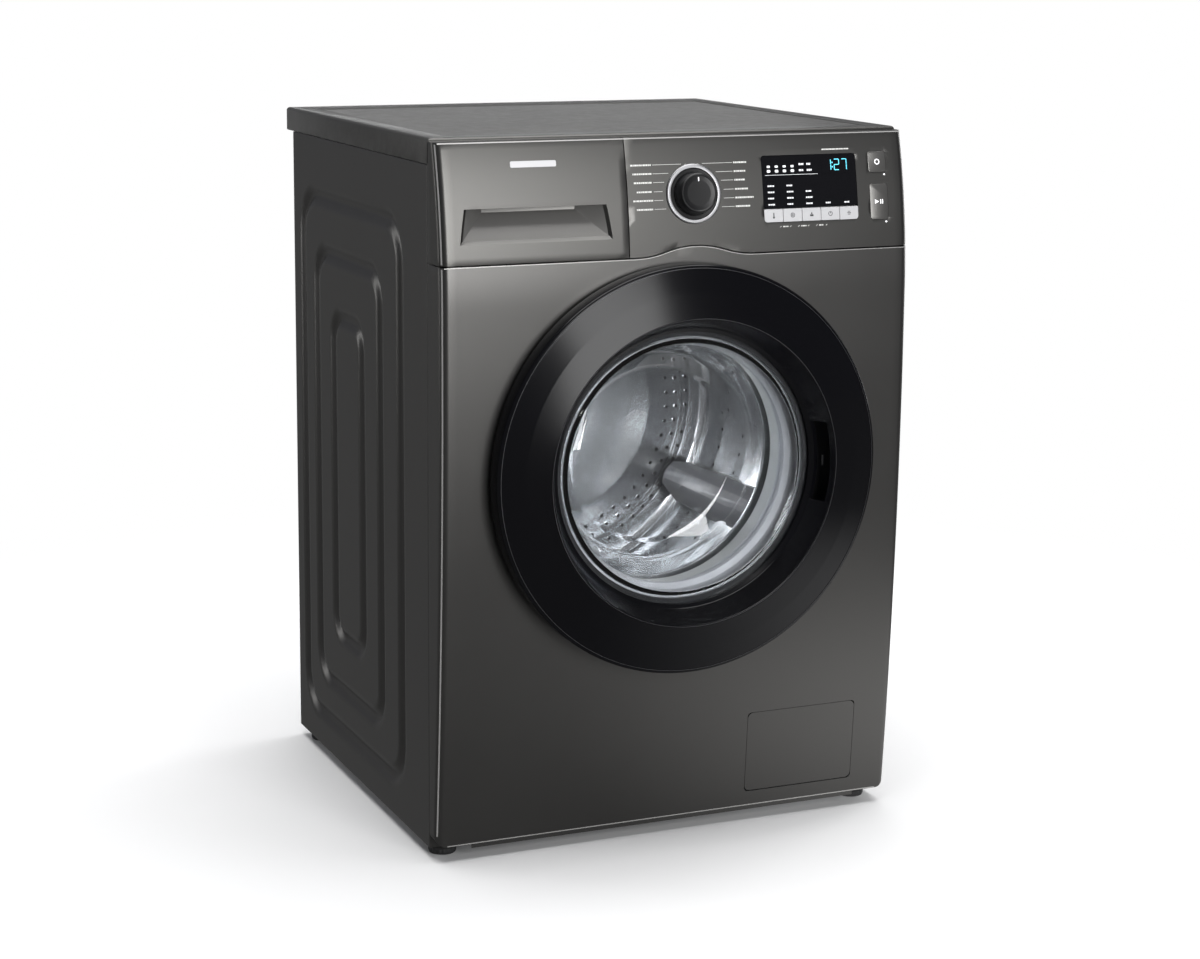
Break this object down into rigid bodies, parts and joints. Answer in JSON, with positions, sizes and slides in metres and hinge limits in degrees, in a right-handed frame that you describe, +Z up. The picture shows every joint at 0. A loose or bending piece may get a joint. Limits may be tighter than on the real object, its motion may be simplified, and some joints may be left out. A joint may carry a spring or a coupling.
{
  "type": "front load washing machine",
  "caption": "Freestanding front-loading washing machine with a round glass door, drum in a sprung tub, dispenser drawer, programme dial and push keys.",
  "frame": {"origin": "on the floor under the middle of the machine's overall box", "axes": "+Z up, the door faces -Y, +X to the right seen from the front"},
  "size_m": [0.6, 0.639, 0.85],
  "materials": {
    "cabinet_paint": "satin metallic dark steel paint",
    "fascia_paint": "painted moulding, satin metallic",
    "worktop_trim": "satin moulding",
    "worktop_laminate": "satin laminate board",
    "galvanised_sheet": "zinc-coated sheet",
    "door_black": "high gloss moulding",
    "door_inner": "moulded inner frame",
    "door_glass": "pressed clear glass",
    "seal_rubber": "grey moulded rubber",
    "drum_steel": "polished stainless steel",
    "tub_plastic": "filled moulding",
    "white_plastic": "white moulding",
    "cast_weight": "rough casting",
    "cast_aluminium": "as cast",
    "motor_housing": "die cast with laminated core",
    "black_rubber": "matt rubber",
    "button_plastic": "painted moulding",
    "key_silver": "satin silver moulding",
    "display_black": "gloss window",
    "dial_black": "gloss cap with plated skirt",
    "chrome_ring": "satin chrome",
    "circuit_board": "coated board",
    "steel_parts": "zinc-plated",
    "fitting_plastic": "grey moulding"
  },
  "bodies": {
    "cabinet": {"side_panel_left": "cabinet_paint", "side_panel_right": "cabinet_paint", "rear_panel": "galvanised_sheet", "rear_cover": "fitting_plastic", "base_pan": "galvanised_sheet", "front_panel": "cabinet_paint", "control_fascia": "fascia_paint", "worktop_frame": "worktop_trim", "worktop_board": "worktop_laminate", "display_window": "display_black", "dial_bezel": "chrome_ring", "control_board": "circuit_board", "dispenser_housing": "white_plastic", "water_inlet_valve": "white_plastic", "door_lock": "white_plastic", "hinge_bracket": "steel_parts", "drain_pump": "fitting_plastic", "damper_cylinders": "steel_parts", "cabinet_screws": "steel_parts", "rear_fittings": "fitting_plastic"},
    "door": {"door_ring": "door_black", "door_frame": "door_inner", "door_glass": "door_glass", "latch_hook": "steel_parts"},
    "tub": {"tub_front": "tub_plastic", "tub_rear": "tub_plastic", "tub_screws": "steel_parts", "counterweight_top": "cast_weight", "counterweight_front": "cast_weight", "door_gasket": "seal_rubber", "gasket_clamp": "steel_parts", "motor": "motor_housing", "heater": "steel_parts", "drum_bearings": "steel_parts", "drive_belt": "black_rubber", "damper_rods": "steel_parts", "suspension_springs": "steel_parts", "sump_hose": "black_rubber", "fill_hose": "black_rubber"},
    "drum": {"drum": "drum_steel", "drum_paddles": "white_plastic", "drum_spider_shaft": "cast_aluminium", "drum_pulley": "cast_aluminium"},
    "motor_rotor": {"motor_pulley": "steel_parts"},
    "drawer": {"drawer_front": "fascia_paint", "drawer_tray": "white_plastic"},
    "dial": {"program_dial": "dial_black"},
    "flap": {"filter_flap": "cabinet_paint"},
    "filter": {"drain_filter": "fitting_plastic"},
    "power": {"power_button": "button_plastic"},
    "start": {"start_button": "button_plastic"},
    "option_1": {"option_button_1": "key_silver"},
    "option_2": {"option_button_2": "key_silver"},
    "option_3": {"option_button_3": "key_silver"},
    "option_4": {"option_button_4": "key_silver"},
    "option_5": {"option_button_5": "key_silver"},
    "foot_front_left_leveller": {"foot_front_left": "black_rubber"},
    "foot_front_right_leveller": {"foot_front_right": "black_rubber"},
    "foot_rear_left_leveller": {"foot_rear_left": "black_rubber"},
    "foot_rear_right_leveller": {"foot_rear_right": "black_rubber"}
  },
  "joints": [
    {"name": "door_swing", "type": "hinge", "parent": "cabinet", "child": "door", "pos_m": [-0.226, -0.295, 0.459], "axis": [0, 0, -1], "range_deg": [0, 105]},
    {"name": "drawer_slide", "type": "slide", "parent": "cabinet", "child": "drawer", "axis": [0, -1, 0], "range_m": [0, 0.2]},
    {"name": "dial_turn", "type": "hinge", "parent": "cabinet", "child": "dial", "pos_m": [0.0155, -0.26443, 0.78], "axis": [0, -0.986, 0.1667], "continuous": true},
    {"name": "tub_bounce", "type": "slide", "parent": "cabinet", "child": "tub", "axis": [0, 0, 1], "range_m": [-0.01, 0.01], "stiffness_N_per_m": 20000, "springref_m": 0.02, "deforming": ["suspension_springs", "door_gasket", "sump_hose", "fill_hose"]},
    {"name": "drum_spin", "type": "hinge", "parent": "tub", "child": "drum", "pos_m": [0, -0.1905, 0.459], "axis": [0, 1, 0], "continuous": true},
    {"name": "motor_spin", "type": "hinge", "parent": "tub", "child": "motor_rotor", "pos_m": [0.09, 0.23, 0.128], "axis": [0, 1, 0], "continuous": true},
    {"name": "flap_open", "type": "hinge", "parent": "cabinet", "child": "flap", "pos_m": [0.1755, -0.25114, 0.041], "axis": [1, 0, 0], "range_deg": [0, 100]},
    {"name": "filter_turn", "type": "hinge", "parent": "cabinet", "child": "filter", "pos_m": [0.1755, -0.2145, 0.0905], "axis": [0, -1, 0], "range_deg": [0, 360]},
    {"name": "power_press", "type": "slide", "parent": "cabinet", "child": "power", "axis": [0, 1, 0], "range_m": [0, 0.0015], "stiffness_N_per_m": 700},
    {"name": "start_press", "type": "slide", "parent": "cabinet", "child": "start", "axis": [0, 1, 0], "range_m": [0, 0.0015], "stiffness_N_per_m": 700},
    {"name": "option_1_press", "type": "slide", "parent": "cabinet", "child": "option_1", "axis": [0, 1, 0], "range_m": [0, 0.0015], "stiffness_N_per_m": 700},
    {"name": "option_2_press", "type": "slide", "parent": "cabinet", "child": "option_2", "axis": [0, 1, 0], "range_m": [0, 0.0015], "stiffness_N_per_m": 700},
    {"name": "option_3_press", "type": "slide", "parent": "cabinet", "child": "option_3", "axis": [0, 1, 0], "range_m": [0, 0.0015], "stiffness_N_per_m": 700},
    {"name": "option_4_press", "type": "slide", "parent": "cabinet", "child": "option_4", "axis": [0, 1, 0], "range_m": [0, 0.0015], "stiffness_N_per_m": 700},
    {"name": "option_5_press", "type": "slide", "parent": "cabinet", "child": "option_5", "axis": [0, 1, 0], "range_m": [0, 0.0015], "stiffness_N_per_m": 700},
    {"name": "foot_front_left_height", "type": "slide", "parent": "cabinet", "child": "foot_front_left_leveller", "axis": [0, 0, -1], "range_m": [0, 0.012]},
    {"name": "foot_front_right_height", "type": "slide", "parent": "cabinet", "child": "foot_front_right_leveller", "axis": [0, 0, -1], "range_m": [0, 0.012]},
    {"name": "foot_rear_left_height", "type": "slide", "parent": "cabinet", "child": "foot_rear_left_leveller", "axis": [0, 0, -1], "range_m": [0, 0.012]},
    {"name": "foot_rear_right_height", "type": "slide", "parent": "cabinet", "child": "foot_rear_right_leveller", "axis": [0, 0, -1], "range_m": [0, 0.012]}
  ],
  "couplings": [
    {"joint": "motor_spin", "follows": "drum_spin", "ratio": 14}
  ]
}
